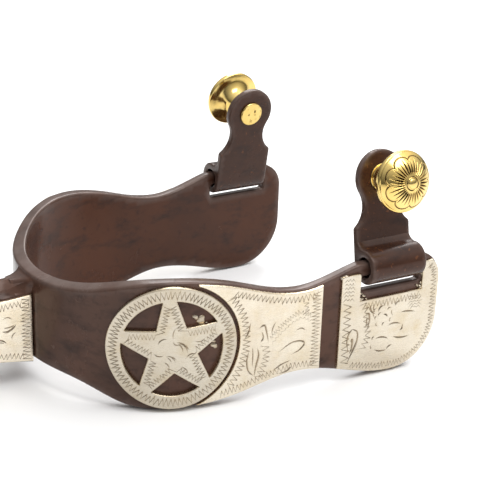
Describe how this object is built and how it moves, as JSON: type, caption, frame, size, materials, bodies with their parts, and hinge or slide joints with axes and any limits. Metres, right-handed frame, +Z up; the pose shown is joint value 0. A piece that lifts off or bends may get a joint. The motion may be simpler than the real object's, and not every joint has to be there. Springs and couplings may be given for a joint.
{
  "type": "western spur",
  "caption": "Western spur: heel band with swinging button hangers, star conchos and engraved trim plates, and a forked shank with a free-spinning star rowel.",
  "frame": {"origin": "on the floor under the middle of the whole spur, in its centre plane", "axes": "+X along the boot towards the toe, +Y to the left branch, +Z up"},
  "size_m": [0.1852, 0.1088, 0.0714],
  "materials": {
    "browned_steel": "brown antiqued steel, satin with worn, lighter edges",
    "nickel_silver": "warm nickel silver, hand engraved and softly polished",
    "polished_brass": "polished turned brass",
    "rowel_steel": "brown antiqued steel, filed points"
  },
  "bodies": {
    "spur_frame": {"heel_band": "browned_steel", "shank": "browned_steel", "rowel_pin": "rowel_steel", "star_concho_right": "nickel_silver", "side_plate_right": "nickel_silver", "tip_plate_right": "nickel_silver", "shank_plate_right": "nickel_silver", "star_concho_left": "nickel_silver", "side_plate_left": "nickel_silver", "tip_plate_left": "nickel_silver", "shank_plate_left": "nickel_silver"},
    "hanger_right": {"button_hanger_right": "browned_steel", "button_right": "polished_brass"},
    "hanger_left": {"button_hanger_left": "browned_steel", "button_left": "polished_brass"},
    "rowel": {"rowel": "rowel_steel"}
  },
  "joints": [
    {"name": "hanger_right_swing", "type": "hinge", "parent": "spur_frame", "child": "hanger_right", "pos_m": [0.07428, -0.046, 0.0353], "axis": [1, 0, 0], "range_deg": [-70, 95]},
    {"name": "hanger_left_swing", "type": "hinge", "parent": "spur_frame", "child": "hanger_left", "pos_m": [0.07428, 0.046, 0.0353], "axis": [-1, 0, 0], "range_deg": [-70, 95]},
    {"name": "rowel_spin", "type": "hinge", "parent": "spur_frame", "child": "rowel", "pos_m": [-0.07757, 0, 0.017], "axis": [0, 1, 0], "continuous": true}
  ]
}
